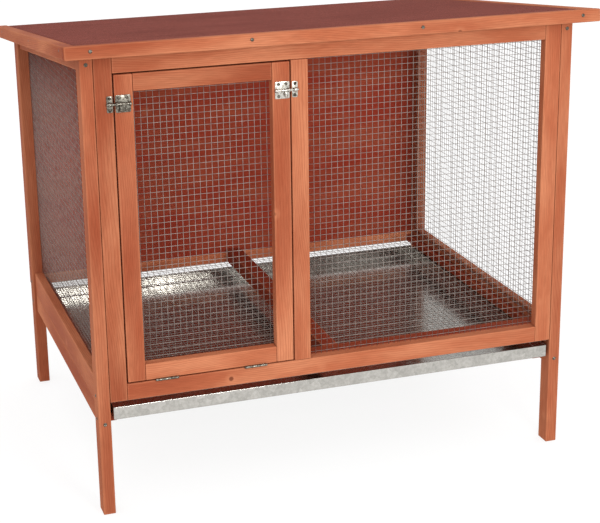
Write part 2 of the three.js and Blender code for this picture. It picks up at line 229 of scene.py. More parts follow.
def rounded_rectangle(half_u, half_v, radius, steps=3):
    """Rings of a rectangle with round corners. Each corner is a quarter circle about a centre one radius in
    from both sides, with one more point on each straight side close to the arc, so that the flats stay
    flat."""
    angles = np.linspace(0, np.pi / 2, steps)
    radius = radius[:, None, None]
    arc = radius * np.stack([np.cos(angles), np.sin(angles)], -1)
    margin = np.full(radius.shape, FLAT_MARGIN)
    first = np.concatenate([radius, -margin], -1)
    last = np.concatenate([-margin, radius], -1)
    corner = np.concatenate([first, arc, last], -2)
    reach = np.stack([half_u - radius[:, 0, 0], half_v - radius[:, 0, 0]], -1)[:, None, :]
    quarters = []
    for cosine, sine, signs in [(1, 0, (1, 1)), (0, 1, (-1, 1)), (-1, 0, (-1, -1)), (0, -1, (1, -1))]:
        u = cosine * corner[..., 0] - sine * corner[..., 1]
        v = sine * corner[..., 0] + cosine * corner[..., 1]
        quarters.append(np.stack([u, v], -1) + reach * signs)
    return np.concatenate(quarters, -2)


def softened_block(low, high, axis, arris, corner=None, spacing=0.09):
    """A block between two corners with round edges: a rounded rectangle is carried along one axis, and at
    both ends it shrinks by a quarter circle of the arris. Its values are each point's place from the middle
    and the half sizes."""
    low, high = np.asarray(low, float), np.asarray(high, float)
    order = [axis, (axis + 1) % 3, (axis + 2) % 3]
    half = ((high - low) / 2)[order]
    angles = np.linspace(0, np.pi / 2, 3)
    ends = arris * (1 - np.cos(angles))
    insets = arris * (1 - np.sin(angles))
    margin = min(arris + FLAT_MARGIN, half[0] * 0.9)
    count = max(2, round(2 * half[0] / spacing))
    middle = np.linspace(margin - half[0], half[0] - margin, count)
    stations = np.concatenate([ends - half[0], middle, (half[0] - ends)[::-1]])
    inset = np.concatenate([insets, np.zeros(count), insets[::-1]])
    rim = arris if corner is None else corner
    outline = rounded_rectangle(half[1] - inset, half[2] - inset, rim - 0.8 * inset)
    along = np.broadcast_to(stations[:, None, None], outline.shape[:2] + (1,))
    place = np.concatenate([along, outline], -1)
    points = np.empty_like(place)
    points[..., order] = place + ((high + low) / 2)[order]
    flat = place.reshape(-1, 3)
    return tube(points, {"place": flat, "half": np.broadcast_to(half, flat.shape)})


def board(name, low, high, axis, tone, arris=None):
    """A stained board: a softened block whose middle bows by half a cosine wave each way, with a random seed
    and a tone (lightness, depth of stain) kept at every point for its stain. On the floor boards the tone is
    painted shade, and on the bottom back rail it is painted light."""
    timber = bpy.context.scene.hutch_timber
    random = generator(name)
    shape = softened_block(low, high, axis, arris or timber.arris)
    place, half = shape.values["place"], shape.values["half"]
    bow = np.cos(place[:, 0] / half[:, 0] * np.pi / 2) * timber.wander
    swing = random.uniform(-1, 1, 2)
    shape.points[:, (axis + 1) % 3] += bow * swing[0]
    shape.points[:, (axis + 2) % 3] += bow * swing[1]
    seed = random.uniform(0, 9, 3)
    shape.values["seed"] = np.broadcast_to(seed, place.shape)
    shape.values["tone"] = np.broadcast_to((*tone, 0), place.shape)
    return shape


def turned(points, angle):
    """Points turned about the X axis: y and z mixed by the cosine and sine of the angle."""
    cosine, sine = math.cos(angle), math.sin(angle)
    x, y, z = points[..., 0], points[..., 1], points[..., 2]
    return np.stack([x, cosine * y - sine * z, sine * y + cosine * z], -1)


def node_box(name, angle=0.0):
    """Lowest and highest corner of a CAD node once it is turned about the X axis."""
    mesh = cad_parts[name].data
    points = np.empty(len(mesh.vertices) * 3)
    mesh.vertices.foreach_get("co", points)
    points = turned(points.reshape(-1, 3), angle)
    return points.min(0), points.max(0)


def cut_to_roof(low, high, whole):
    """How the roof's slope lowers a board: z falls by the slope times the distance from the board's front. A
    board cut only at its top takes a share of it that grows from nothing at its foot to all at its top."""
    slope = math.tan(bpy.context.scene.hutch_roof.pitch)

    def change(points):
        share = 1.0 if whole else (points[:, 2] - low[2]) / (high[2] - low[2])
        fall = slope * (points[:, 1] - low[1]) * share
        return points - fall[:, None] * Z

    return change


def carried(path, side, profile):
    """A profile carried along a path: each profile point stands its first number along side and its second
    along the path's normal, which is the tangent crossed with side."""
    tangent = np.gradient(path, axis=0)
    tangent /= np.linalg.norm(tangent, axis=1, keepdims=True)
    normal = np.cross(tangent, side)
    return tube(path[:, None] + profile[None, :, :1] * side + profile[None, :, 1:] * normal[:, None])


def lathe(profile, centre, axis, columns=20):
    """A profile of (distance along the axis, radius) turned once round the axis, closed by a flat face over
    each end."""
    axis = np.asarray(axis, float) / np.linalg.norm(axis)
    helper = Z if abs(axis[2]) < 0.8 else X
    u = np.cross(helper, axis)
    u /= np.linalg.norm(u)
    v = np.cross(axis, u)
    angles = np.linspace(0, 2 * np.pi, columns, endpoint=False)
    circle = np.cos(angles)[:, None] * u + np.sin(angles)[:, None] * v
    profile = np.asarray(profile, float)
    rings = profile[:, None, :1] * axis + profile[:, None, 1:] * circle
    return tube(np.asarray(centre, float) + rings)


def rod(start, end, radius, soft, columns=20):
    """A round bar from start to end whose edges are quarter circles of the soft radius."""
    start, end = np.asarray(start, float), np.asarray(end, float)
    reach = np.linalg.norm(end - start)
    angles = np.linspace(0, np.pi / 2, 4)
    along = soft * (1 - np.cos(angles))
    radii = radius - soft * (1 - np.sin(angles)) * 0.98
    distance = np.concatenate([along, (reach - along)[::-1]])
    return lathe(np.stack([distance, np.concatenate([radii, radii[::-1]])], -1), start, end - start, columns)


def screw(centre, facing, radius, rise):
    """A pan-head screw: height over the face is the rise times a flattened dome of the distance from the
    centre, less a cross-shaped recess where the cosine of four times the angle is high. Its head faces along
    facing."""
    facing = np.asarray(facing, float) / np.linalg.norm(facing)
    u = np.cross(Z, facing)
    u /= np.linalg.norm(u)
    v = np.cross(facing, u)
    share = np.array([1.0, 1.0, 0.94, 0.82, 0.6, 0.5, 0.3, 0.12])[:, None]
    angles = np.linspace(0, 2 * np.pi, 24, endpoint=False)[None, :] + 0.3
    dome = rise * np.sqrt(np.clip(1.02 - share**3, 0, 1))
    dome[0] = -0.4 * MM
    recess = (np.cos(4 * angles - 1.2) > 0.45) * (share < 0.55) * rise * 0.75
    height = (dome - recess)[..., None]
    rim = radius * share[..., None]
    rings = rim * np.cos(angles)[..., None] * u + rim * np.sin(angles)[..., None] * v
    return tube(np.asarray(centre, float) + rings + height * facing)


def sheet(low, high, counts, ripple, random):
    """A thin sheet: an upper and a lower grid over the same rectangle, joined round their borders. The upper
    one falls below its height by a sum of slow waves."""
    across = np.linspace(low[0], high[0], counts[0])
    deep = np.linspace(low[1], high[1], counts[1])
    x, y = np.meshgrid(across, deep, indexing="ij")
    waves = np.zeros_like(x)
    for _ in range(5):
        rate, phase = random.uniform(3, 26, 2), random.uniform(0, 6, 2)
        waves += np.sin(x * rate[0] + phase[0]) * np.sin(y * rate[1] + phase[1])
    upper = high[2] - ripple * (0.5 + waves / 10)
    grid = np.arange(counts[0] * counts[1]).reshape(counts)
    quads = np.stack([grid[:-1, :-1], grid[1:, :-1], grid[1:, 1:], grid[:-1, 1:]], -1).reshape(-1, 4)
    border = np.concatenate([grid[:-1, 0], grid[-1, :-1], grid[:0:-1, -1], grid[0, :0:-1]])
    following = np.roll(border, -1)
    below = grid.size
    sides = np.stack([border, border + below, following + below, following], -1)
    points = np.stack([np.stack([x, y, upper], -1), np.stack([x, y, np.full_like(x, low[2])], -1)])
    return Shape(points, np.concatenate([quads, quads[:, ::-1] + below, sides]))


def piece(name, shapes, material, body, slot, *nodes):
    """One object made of its surfaces. It rides on its body, and stands for its CAD nodes."""
    starts = np.cumsum([0] + [len(shape.points) for shape in shapes])
    points = np.concatenate([shape.points for shape in shapes])
    quads = np.concatenate([shape.quads + start for shape, start in zip(shapes, starts)])
    caps = [(cap + start).tolist() for shape, start in zip(shapes, starts) for cap in shape.caps]
    mesh = bpy.data.meshes.new(name)
    mesh.from_pydata(points.tolist(), [], quads.tolist() + caps)
    for key in shapes[0].values:
        values = np.concatenate([shape.values[key] for shape in shapes]).astype(np.float32)
        mesh.attributes.new(key, "FLOAT_VECTOR", "POINT").data.foreach_set("vector", values.ravel())
    mesh.polygons.foreach_set("use_smooth", np.ones(len(mesh.polygons), bool))
    mesh.materials.append(material)
    made = bpy.data.objects.new(name, mesh)
    bpy.context.scene.collection.objects.link(made)
    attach(made, body)
    if nodes:
        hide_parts(*nodes)
    return made


# Finishes


class Finish:
    """A material being made: adds nodes, joins them, and ends in one shader."""

    def __init__(self, name):
        self.material = bpy.data.materials.new(name)
        self.material.use_nodes = True
        self.tree = self.material.node_tree
        self.shader = self.tree.nodes["Principled BSDF"]

    def join(self, socket, value):
        """Links a socket to another's output, or sets its own value."""
        if isinstance(value, bpy.types.NodeSocket):
            self.tree.links.new(value, socket)
        else:
            socket.default_value = (*value, 1) if socket.type == "RGBA" else value

    def node(self, kind, inputs, **settings):
        made = self.tree.nodes.new("ShaderNode" + kind)
        for key, value in settings.items():
            setattr(made, key, value)
        for key, value in inputs.items():
            self.join(made.inputs[key], value)
        return made

    def math(self, operation, *values, clamp=False):
        inputs = dict(enumerate(values))
        return self.node("Math", inputs, operation=operation, use_clamp=clamp).outputs[0]

    def vector(self, operation, *values):
        made = self.node("VectorMath", dict(enumerate(values)), operation=operation)
        return made.outputs["Value" if operation == "LENGTH" else "Vector"]

    def scaled(self, vector, factor):
        inputs = {"Vector": vector, "Scale": factor}
        return self.node("VectorMath", inputs, operation="SCALE").outputs["Vector"]

    def noise(self, vector, scale=1.0, detail=2.0, output="Fac"):
        inputs = {"Vector": vector, "Scale": scale, "Detail": detail}
        return self.node("TexNoise", inputs).outputs[output]

    def step(self, value, low, high, start=0.0, end=1.0):
        """A value eased from start to end as it goes from low to high."""
        inputs = {"Value": value, "From Min": low, "From Max": high, "To Min": start, "To Max": end}
        return self.node("MapRange", inputs, interpolation_type="SMOOTHSTEP").outputs["Result"]

    def mix(self, factor, first, second, blend="MIX"):
        inputs = {0: factor, 6: first, 7: second}
        return self.node("Mix", inputs, data_type="RGBA", blend_type=blend).outputs[2]

    def attribute(self, name):
        return self.node("Attribute", {}, attribute_name=name).outputs["Vector"]

    def object_place(self):
        return self.node("TexCoord", {}).outputs["Object"]

    def done(self, colour, roughness, height=None, distance=0.0003, strength=1.0, metallic=0.0):
        self.join(self.shader.inputs["Base Color"], colour)
        self.join(self.shader.inputs["Roughness"], roughness)
        self.join(self.shader.inputs["Metallic"], metallic)
        if height is not None:
            inputs = {"Height": height, "Distance": distance, "Strength": strength}
            self.join(self.shader.inputs["Normal"], self.node("Bump", inputs).outputs["Normal"])
        return self.material


def made_once(make):
    """A finish is made at its first use and kept."""
    kept = {}

    def finish(*choice):
        if choice not in kept:
            kept[choice] = make(*choice)
        return kept[choice]

    return finish


KNOTS_PER_METRE = (5.5, 15.0, 15.0)
CLEAR_SHARE = 0.62
PATCHES = {True: 0.2, False: 0.7}


@made_once
def stained_timber(inner):
    """Stained fir. Rings are bands across the board that drift slowly along it; fibres are fine streaks; the
    stain lies deeper in latewood, on end grain and in sparse knots, and thinner on the sanded arrises."""
    timber = bpy.context.scene.hutch_timber
    finish = Finish("inner_stained_fir" if inner else "stained_fir")
    place = finish.attribute("place")
    grain = finish.vector("ADD", place, finish.attribute("seed"))
    drift = finish.noise(finish.vector("MULTIPLY", grain, (2.4, 11, 11)), detail=1.0, output="Color")
    drift = finish.vector("SUBTRACT", drift, (0.5, 0.5, 0.5))
    drifted = finish.vector("ADD", grain, finish.vector("MULTIPLY", drift, (0, 0.035, 0.035)))
    banded = finish.vector("MULTIPLY", drifted, (0.04, 1, 1))
    scale = 0.628 / timber.ring_width
    rings = finish.node(
        "TexWave",
        {"Vector": banded, "Scale": scale, "Distortion": 3.0, "Detail": 2.0, "Detail Scale": 0.4},
        bands_direction="DIAGONAL",
    ).outputs["Fac"]
    latewood = finish.step(rings, 0.55, 1.0)
    blotch = finish.noise(finish.vector("MULTIPLY", grain, (6, 26, 26)), detail=3.0)
    broad = finish.noise(finish.vector("MULTIPLY", grain, (1.7, 7, 7)), detail=1.0)
    fibre = finish.noise(finish.vector("MULTIPLY", drifted, (34, 620, 620)), detail=3.0)
    tone = finish.node("SeparateXYZ", {"Vector": finish.attribute("tone")}).outputs

    base = timber.inner if inner else timber.mid
    pale = finish.mix(0.25, tuple(base), tuple(timber.light)) if inner else tuple(timber.light)
    colour = finish.mix(finish.step(blotch, 0.32, 0.68), tuple(base), pale)
    colour = finish.mix(finish.step(broad, 0.42, 0.7, 0.0, PATCHES[inner]), colour, tuple(timber.dark))
    colour = finish.mix(finish.math("MULTIPLY", latewood, 0.3), colour, tuple(timber.dark))
    # The tone's second part deepens the stain towards the dark colour; on the floor boards this is painted
    # shade.
    colour = finish.mix(finish.math("MULTIPLY", tone[1], 0.6), colour, tuple(timber.dark))

    spread_out = finish.vector("MULTIPLY", grain, KNOTS_PER_METRE)
    knots = finish.node("TexVoronoi", {"Vector": spread_out, "Scale": 1.0})
    offset = finish.vector("SUBTRACT", knots.outputs["Position"], spread_out)
    distance = finish.vector("LENGTH", finish.vector("DIVIDE", offset, KNOTS_PER_METRE))
    kind = finish.node("SeparateColor", {"Color": knots.outputs["Color"]}).outputs[0]
    present = finish.math("GREATER_THAN", kind, CLEAR_SHARE)
    heart = finish.math("MULTIPLY", finish.step(distance, 0.0035, 0.0062, 1.0, 0.0), present)
    halo = finish.math("MULTIPLY", finish.step(distance, 0.006, 0.017, 1.0, 0.0), present)
    colour = finish.mix(finish.math("MULTIPLY", halo, 0.35), colour, tuple(timber.light))
    colour = finish.mix(finish.math("MULTIPLY", heart, 0.75), colour, tuple(timber.knot))

    sizes = finish.vector("SUBTRACT", finish.attribute("half"), finish.vector("ABSOLUTE", place))
    reach = finish.node("SeparateXYZ", {"Vector": sizes}).outputs
    nearer = finish.math("MINIMUM", reach[1], reach[2])
    further = finish.math("MAXIMUM", reach[1], reach[2])
    edge = finish.math("MAXIMUM", nearer, finish.math("MINIMUM", further, reach[0]))
    broken = finish.math("MULTIPLY_ADD", blotch, 0.006, -0.0012)
    edge = finish.step(finish.math("SUBTRACT", edge, broken), -0.001, 0.0022, 1.0, 0.0)
    colour = finish.mix(finish.math("MULTIPLY", edge, 0.35), colour, tuple(timber.light))
    end_grain = finish.step(reach[0], 0.0004, 0.0012, 0.55, 0.0)
    colour = finish.mix(end_grain, colour, tuple(timber.dark))

    # The tone's first part makes the board lighter or darker; on the floor boards this is painted shade, on
    # the bottom back rail painted light.
    light = finish.math("MULTIPLY_ADD", tone[0], 0.22, finish.step(fibre, 0.2, 0.8, 0.88, 1.12))
    colour = finish.scaled(colour, light)
    height = finish.math("ADD", finish.math("MULTIPLY", fibre, 0.6), finish.math("MULTIPLY", latewood, 0.4))
    roughness = finish.step(blotch, 0.3, 0.7, 0.58, 0.74)
    finish.shader.inputs["Specular IOR Level"].default_value = 0.02
    return finish.done(colour, roughness, height, distance=0.00035, strength=0.55)


@made_once
def mineral_felt():
    """Roofing felt: granules are random cells that each take a shade, over slow streaks across the roof."""
    roof = bpy.context.scene.hutch_roof
    finish = Finish("mineral_felt")
    place = finish.object_place()
    cells = finish.node("TexVoronoi", {"Vector": place, "Scale": 1 / roof.granule})
    grit = finish.node("SeparateColor", {"Color": cells.outputs["Color"]}).outputs[0]
    streak = finish.noise(finish.vector("MULTIPLY", place, (5, 130, 130)), detail=3.0)
    broad = finish.noise(place, scale=6.0, detail=2.0)
    amount = finish.math("MULTIPLY_ADD", grit, 0.55, finish.math("MULTIPLY", streak, 0.5))
    colour = finish.mix(finish.step(amount, 0.2, 0.95, 1.0, 0.0), tuple(roof.felt), tuple(roof.felt_dark))
    colour = finish.mix(finish.step(broad, 0.4, 0.7, 0.0, 0.25), colour, tuple(roof.felt_dark))
    height = finish.math("ADD", cells.outputs["Distance"], finish.math("MULTIPLY", grit, 0.5))
    finish.shader.inputs["Specular IOR Level"].default_value = 0.05
    return finish.done(colour, finish.step(grit, 0, 1, 0.9, 1.0), height, distance=0.0006, strength=0.7)


@made_once
def galvanised_wire():
    """Dip-galvanised wire, dull enough to be only partly metallic: short lengths differ in brightness and
    gloss."""
    wire = bpy.context.scene.hutch_wire
    finish = Finish("galvanised_wire")
    place = finish.object_place()
    patches = finish.noise(place, scale=90.0, detail=2.0)
    fine = finish.noise(place, scale=900.0, detail=2.0)
    darker = tuple(0.6 * channel for channel in wire.zinc)
    colour = finish.mix(finish.step(patches, 0.35, 0.75), tuple(wire.zinc), darker)
    return finish.done(colour, finish.step(patches, 0.3, 0.7, 0.34, 0.55), fine, 0.0001, 0.4, metallic=0.3)


@made_once
def galvanised_sheet():
    """Hot-dipped sheet: crystals a centimetre across differ in brightness and gloss, under a fine mottle and
    a few dark pits."""
    tray = bpy.context.scene.hutch_tray
    finish = Finish("galvanised_sheet")
    place = finish.object_place()
    warp = finish.vector("ADD", place, finish.scaled(finish.noise(place, 60.0, output="Color"), 0.012))
    crystals = finish.node("TexVoronoi", {"Vector": warp, "Scale": 75.0})
    crystal = finish.node("SeparateColor", {"Color": crystals.outputs["Color"]}).outputs
    mottle = finish.noise(place, scale=140.0, detail=4.0)
    clouds = finish.noise(place, scale=14.0, detail=3.0)
    amount = finish.math("MULTIPLY_ADD", crystal[0], 0.45, finish.step(mottle, 0.3, 0.7, 0.0, 0.4))
    colour = finish.mix(amount, tuple(tray.zinc), tuple(tray.dull))
    colour = finish.mix(finish.step(clouds, 0.45, 0.75, 0.0, 0.35), colour, tuple(tray.dull))
    pits = finish.node("TexVoronoi", {"Vector": place, "Scale": 26.0})
    pit = finish.step(pits.outputs["Distance"], 0.05, 0.09, 0.6, 0.0)
    rare = finish.node("SeparateColor", {"Color": pits.outputs["Color"]}).outputs[0]
    pit = finish.math("MULTIPLY", pit, finish.math("GREATER_THAN", rare, 0.6))
    colour = finish.mix(pit, colour, shade(96, 92, 84))
    roughness = finish.step(crystal[1], 0.0, 1.0, 0.12, 0.22)
    height = finish.math("MULTIPLY_ADD", mottle, 0.15, clouds)
    return finish.done(colour, roughness, height, distance=0.0008, strength=0.2, metallic=1.0)


PLATING = {
    "bright": ("zinc_plate", "zinc", "worn", (0.45, 0.65)),
    "worn": ("worn_zinc_plate", "worn", "steel", (0.4, 0.62)),
    "screw": ("screw_steel", "worn", "steel", (0.3, 0.55)),
}


@made_once
def plating(kind):
    """Plated steel with a faint brushed grain, and duller patches where it is handled."""
    fittings = bpy.context.scene.hutch_fittings
    name, first, second, (low, high) = PLATING[kind]
    finish = Finish(name)
    place = finish.object_place()
    patches = finish.noise(place, scale=220.0, detail=3.0)
    brushed = finish.noise(finish.vector("MULTIPLY", place, (150, 2200, 2200)), detail=2.0)
    bright, dull = tuple(getattr(fittings, first)), tuple(getattr(fittings, second))
    colour = finish.mix(finish.step(patches, low, high, 0.1, 0.95), bright, dull)
    roughness = finish.step(patches, 0.3, 0.7, 0.22, 0.42)
    return finish.done(colour, roughness, brushed, distance=0.0001, strength=0.35, metallic=1.0)


@made_once
def studio_floor():
    """Matt floor with a very faint mottle. Most of its paleness is light of its own, to keep shadows faint."""
    stage = bpy.context.scene.hutch_stage
    finish = Finish("studio_floor")
    cloud = finish.noise(finish.object_place(), scale=2.0)
    paler = tuple(min(1.0, 1.02 * channel) for channel in stage.floor)
    finish.shader.inputs["Emission Color"].default_value = (1, 1, 1, 1)
    finish.shader.inputs["Emission Strength"].default_value = stage.glow
    return finish.done(finish.mix(cloud, tuple(stage.floor), paler), 0.8)


# Timber

FRONT_BOARDS = {
    "front_stile_left": (ALONG_Z, (-0.3, -0.1)),
    "front_stile_middle": (ALONG_Z, (0.1, 0.1)),
    "front_stile_right": (ALONG_Z, (0.2, 0.1)),
    "front_rail_top": (ALONG_X, (0.0, 0.1)),
    "front_rail_bottom": (ALONG_X, (0.2, 0.1)),
}
DOOR_BOARDS = {
    "door_stile_left": (ALONG_Z, (0.1, 0.3)),
    "door_stile_right": (ALONG_Z, (0.25, 0.05)),
    "door_rail_top": (ALONG_X, (-0.4, 0.4)),
    "door_rail_bottom": (ALONG_X, (0.2, -0.1)),
}
POSTS = {
    "post_front_left": (ALONG_Z, (0.0, 0.45)),
    "post_front_right": (ALONG_Z, (0.0, 0.4)),
    "post_rear_left": (ALONG_Z, (-0.4, 0.6)),
    "post_rear_right": (ALONG_Z, (0.0, 0.4)),
}
SIDE_BOARDS = {"side_rail_top": (0.1, 0.15), "side_rail_bottom": (0.0, 0.2), "side_apron": (0.1, 0.1)}
ROOF_BOARDS = {
    "fascia_front": (ALONG_X, (0.0, 0.1)),
    "fascia_left": (ALONG_Y, (0.1, 0.1)),
    "fascia_right": (ALONG_Y, (0.1, 0.1)),
    "fascia_rear": (ALONG_X, (0.0, 0.2)),
}
PLAIN_TONE = (0.0, 0.1)
# Painted light: this tone lightens the bottom back rail, which stands in shade at the back of the hutch.
PAINTED_LIGHT_TONE = (1.8, -0.2)
# Painted shade: this tone darkens the floor battens and bearer and deepens their stain, for the shade they sit
# in under the floor wire.
PAINTED_SHADE_TONE = (-0.4, 1.0)
TOP_CUT = ("post_", "front_stile_left", "front_stile_right", "front_rail_top", "back_rail_top", "back_panel")


def add_board(node, body, axis, tone, inner=False, fall=None):
    """The board that stands for one CAD node, cut to the roof where the node is."""
    low, high = node_box(node)
    if fall == "whole":
        slope = math.tan(bpy.context.scene.hutch_roof.pitch)
        low[2] += slope * (high[1] - low[1])
    shape = board(node, low, high, axis, tone)
    if fall == "whole":
        shape = shape.moved(cut_to_roof(low, high, True))
    elif node.startswith(TOP_CUT):
        shape = shape.moved(cut_to_roof(low, high, False))
    slot = "stained_inner_board" if inner else "stained_fir"
    return piece(node + "_timber", [shape], stained_timber(inner), body, slot, node)


def add_boards(boards, body):
    for node, (axis, tone) in boards.items():
        add_board(node, body, axis, tone)


class HUTCH_OT_posts(bpy.types.Operator):
    """Builds the four corner posts"""

    bl_idname = "hutch.posts"
    bl_label = "Posts"

    def execute(self, context):
        add_boards(POSTS, "hutch")
        return {"FINISHED"}


class HUTCH_OT_front_frame(bpy.types.Operator):
    """Builds the stiles and rails of the front"""

    bl_idname = "hutch.front_frame"
    bl_label = "Front frame"

    def execute(self, context):
        add_boards(FRONT_BOARDS, "hutch")
        return {"FINISHED"}


class HUTCH_OT_door_frame(bpy.types.Operator):
    """Builds the stiles and rails of the door"""

    bl_idname = "hutch.door_frame"
    bl_label = "Door frame"

    def execute(self, context):
        add_boards(DOOR_BOARDS, "door")
        return {"FINISHED"}


class HUTCH_OT_side_boards(bpy.types.Operator):
    """Builds the rails and aprons of both sides, and the runners that carry the tray"""

    bl_idname = "hutch.side_boards"
    bl_label = "Side boards"

    def execute(self, context):
        for side in ("left", "right"):
            for part, tone in SIDE_BOARDS.items():
                fall = "whole" if part == "side_rail_top" else None
                add_board(f"{part}_{side}", "hutch", ALONG_Y, tone, fall=fall)
            add_board(f"tray_runner_{side}", "hutch", ALONG_Y, PLAIN_TONE, inner=True)
        return {"FINISHED"}


class HUTCH_OT_back(bpy.types.Operator):
    """Builds the back panel and its rails"""

    bl_idname = "hutch.back"
    bl_label = "Back"

    def execute(self, context):
        for node in ("back_rail_top", "back_panel"):
            add_board(node, "hutch", ALONG_X, PLAIN_TONE, inner=True)
        # The bottom back rail takes the lighter tone: painted light on a rail that stands in shade.
        add_board("back_rail_bottom", "hutch", ALONG_X, PAINTED_LIGHT_TONE)
        return {"FINISHED"}


class HUTCH_OT_floor_boards(bpy.types.Operator):
    """Builds the bearer and battens that the floor wire hangs from"""

    bl_idname = "hutch.floor_boards"
    bl_label = "Floor boards"

    def execute(self, context):
        # The floor boards take the darker tone: painted shade.
        for node in ("floor_batten_left", "floor_batten_right", "floor_bearer"):
            add_board(node, "hutch", ALONG_Y, PAINTED_SHADE_TONE, inner=True)
        add_board("floor_batten_front", "hutch", ALONG_X, PAINTED_SHADE_TONE, inner=True)
        return {"FINISHED"}


class HUTCH_OT_roof(bpy.types.Operator):
    """Builds the sloping roof: four fascias, the deck and the felt"""

    bl_idname = "hutch.roof"
    bl_label = "Roof"

    def execute(self, context):
        settings = context.scene.hutch_roof

        def tilted(points):
            return turned(points, -settings.pitch)

        boards = {**ROOF_BOARDS, "roof_deck": (ALONG_X, PLAIN_TONE)}
        for node, (axis, tone) in boards.items():
            inner = node == "roof_deck"
            low, high = node_box(node, settings.pitch)
            arris = None if inner else context.scene.hutch_timber.round_over
            shape = board(node, low + BOW_ROOM, high - BOW_ROOM, axis, tone, arris).moved(tilted)
            slot = "stained_inner_board" if inner else "stained_fir"
            piece(node + "_timber", [shape], stained_timber(inner), "hutch", slot, node)
        low, high = node_box("roof_felt", settings.pitch)
        felt = sheet(low, high, (90, 70), settings.ripple, generator("felt")).moved(tilted)
        piece("roof_covering", [felt], mineral_felt(), "hutch", "mineral_felt", "roof_felt")
        return {"FINISHED"}


# Wire

WIRE_STEPS = 6
WIRE_SIDES = 6


def wire_runs(starts, ends, side, facing, random):
    """Wires from starts to ends. Hexagons stand at even steps on each straight line, moved off it by a sine
    of the distance along it, with a random rate and phase for each wire. Side, facing and the travel are
    right-handed."""
    wire = bpy.context.scene.hutch_wire
    step = np.linspace(0, 1, WIRE_STEPS)
    line = starts[:, None] + (ends - starts)[:, None] * step[None, :, None]
    for direction, share in ((side, 1.0), (facing, 0.45)):
        rate = random.uniform(0.3, 1.1, (len(starts), 1))
        phase = random.uniform(0, 2 * np.pi, (len(starts), 1))
        line = line + (np.sin(2 * np.pi * rate * step + phase) * wire.sway * share)[..., None] * direction
    angles = np.linspace(0, 2 * np.pi, WIRE_SIDES, endpoint=False)[:, None]
    hexagon = wire.gauge / 2 * (np.cos(angles) * side + np.sin(angles) * facing)
    points = line[:, :, None] + hexagon
    ends_of = (WIRE_STEPS - 1) * WIRE_SIDES
    start_cap = np.array([[3, 2, 1, 0], [5, 4, 3, 0]])
    end_cap = np.array([[0, 1, 2, 3], [0, 3, 4, 5]]) + ends_of
    one = np.concatenate([ring_quads(WIRE_STEPS, WIRE_SIDES), start_cap, end_cap])
    starts_at = np.arange(len(starts))[:, None, None] * WIRE_STEPS * WIRE_SIDES
    return Shape(points, (one[None] + starts_at).reshape(-1, 4))


def spread(low, high, pitch):
    """Places a pitch apart, centred between two limits."""
    count = int((high - low - 0.3 * pitch) / pitch)
    return (low + high) / 2 + (np.arange(count + 1) - count / 2) * pitch


def wire_panel(node, normal, backing, sloped=False):
    """Welded wire for one CAD node: one layer of wires along each axis of its plane, the second lying on the
    first. Backing is 1 where the frame lies below the panel along its normal. A sloped panel's top falls
    with y."""
    settings = bpy.context.scene
    pitch, gauge = settings.hutch_wire.pitch, settings.hutch_wire.gauge
    slope = math.tan(settings.hutch_roof.pitch) if sloped else 0.0
    random = generator(node)
    low, high = node_box(node)
    axes = np.eye(3)
    u, v = (normal + 1) % 3, (normal + 2) % 3
    base = low[normal] if backing > 0 else high[normal]
    layer = [base + backing * gauge * share for share in (0.5, 1.5)]

    across = spread(low[u], high[u], pitch)
    uprights = np.zeros((2, len(across), 3))
    uprights[:, :, u] = across
    uprights[:, :, normal] = layer[0]
    uprights[0, :, v] = low[v]
    uprights[1, :, v] = high[v] - slope * (across - low[u])

    levels = spread(low[v], high[v], pitch)
    level_ends = np.full_like(levels, high[u])
    if sloped:
        level_ends = np.minimum(level_ends, low[u] + (high[v] - levels) / slope)
    kept = level_ends - low[u] > pitch
    rows = np.zeros((2, kept.sum(), 3))
    rows[:, :, v] = levels[kept]
    rows[:, :, normal] = layer[1]
    rows[0, :, u] = low[u]
    rows[1, :, u] = level_ends[kept]
    return [
        wire_runs(uprights[0], uprights[1], axes[normal], axes[u], random),
        wire_runs(rows[0], rows[1], axes[v], axes[normal], random),
    ]


WIRE_PANELS = {
    "front_wire_mesh": ("hutch", ALONG_Y, 1, False),
    "door_wire_mesh": ("door", ALONG_Y, 1, False),
    "side_wire_mesh_left": ("hutch", ALONG_X, 1, True),
    "side_wire_mesh_right": ("hutch", ALONG_X, -1, True),
    "floor_wire_mesh": ("hutch", ALONG_Z, -1, False),
}


class HUTCH_OT_wire_panels(bpy.types.Operator):
    """Builds the welded wire of the front, door, sides and floor"""

    bl_idname = "hutch.wire_panels"
    bl_label = "Wire panels"

    def execute(self, context):
        for node, (body, normal, backing, sloped) in WIRE_PANELS.items():
            panel = wire_panel(node, normal, backing, sloped)
            piece(node + "_wires", panel, galvanised_wire(), body, "welded_wire", node)
        return {"FINISHED"}


# Tray


def pan_profile(settings, depth, height):
    """The tray's section, as (distance in from the outer face, height): out along the floor, up the bend and
    the inner wall, in under the folded hem, over the rim, down the outer wall, round the bend and back
    underneath."""
    sheet_, bend = settings.sheet, settings.bend
    quarter = np.linspace(0, np.pi / 2, 4)
    bowl = np.stack([bend * (1 - np.sin(quarter)), bend * (1 - np.cos(quarter))], -1)
    over = np.linspace(0, np.pi, 7)
    rim = np.stack([sheet_ * (1 + np.cos(over)), height - sheet_ + sheet_ * np.sin(over)], -1)
    under_hem = height - settings.hem
    rows = [
        [(depth, sheet_), (depth * 0.5, sheet_), (bend * 3, sheet_)],
        bowl + sheet_,
        [(sheet_, bend + 2 * sheet_), (sheet_, under_hem - FLAT_MARGIN)],
        [(sheet_, under_hem), (2 * sheet_, under_hem), (2 * sheet_, under_hem + FLAT_MARGIN)],
        rim,
        [(0, height - 3 * sheet_), (0, bend + sheet_)],
        bowl[::-1],
        [(bend * 3, 0), (depth * 0.5, 0), (depth, 0)],
    ]
    return np.concatenate(rows)


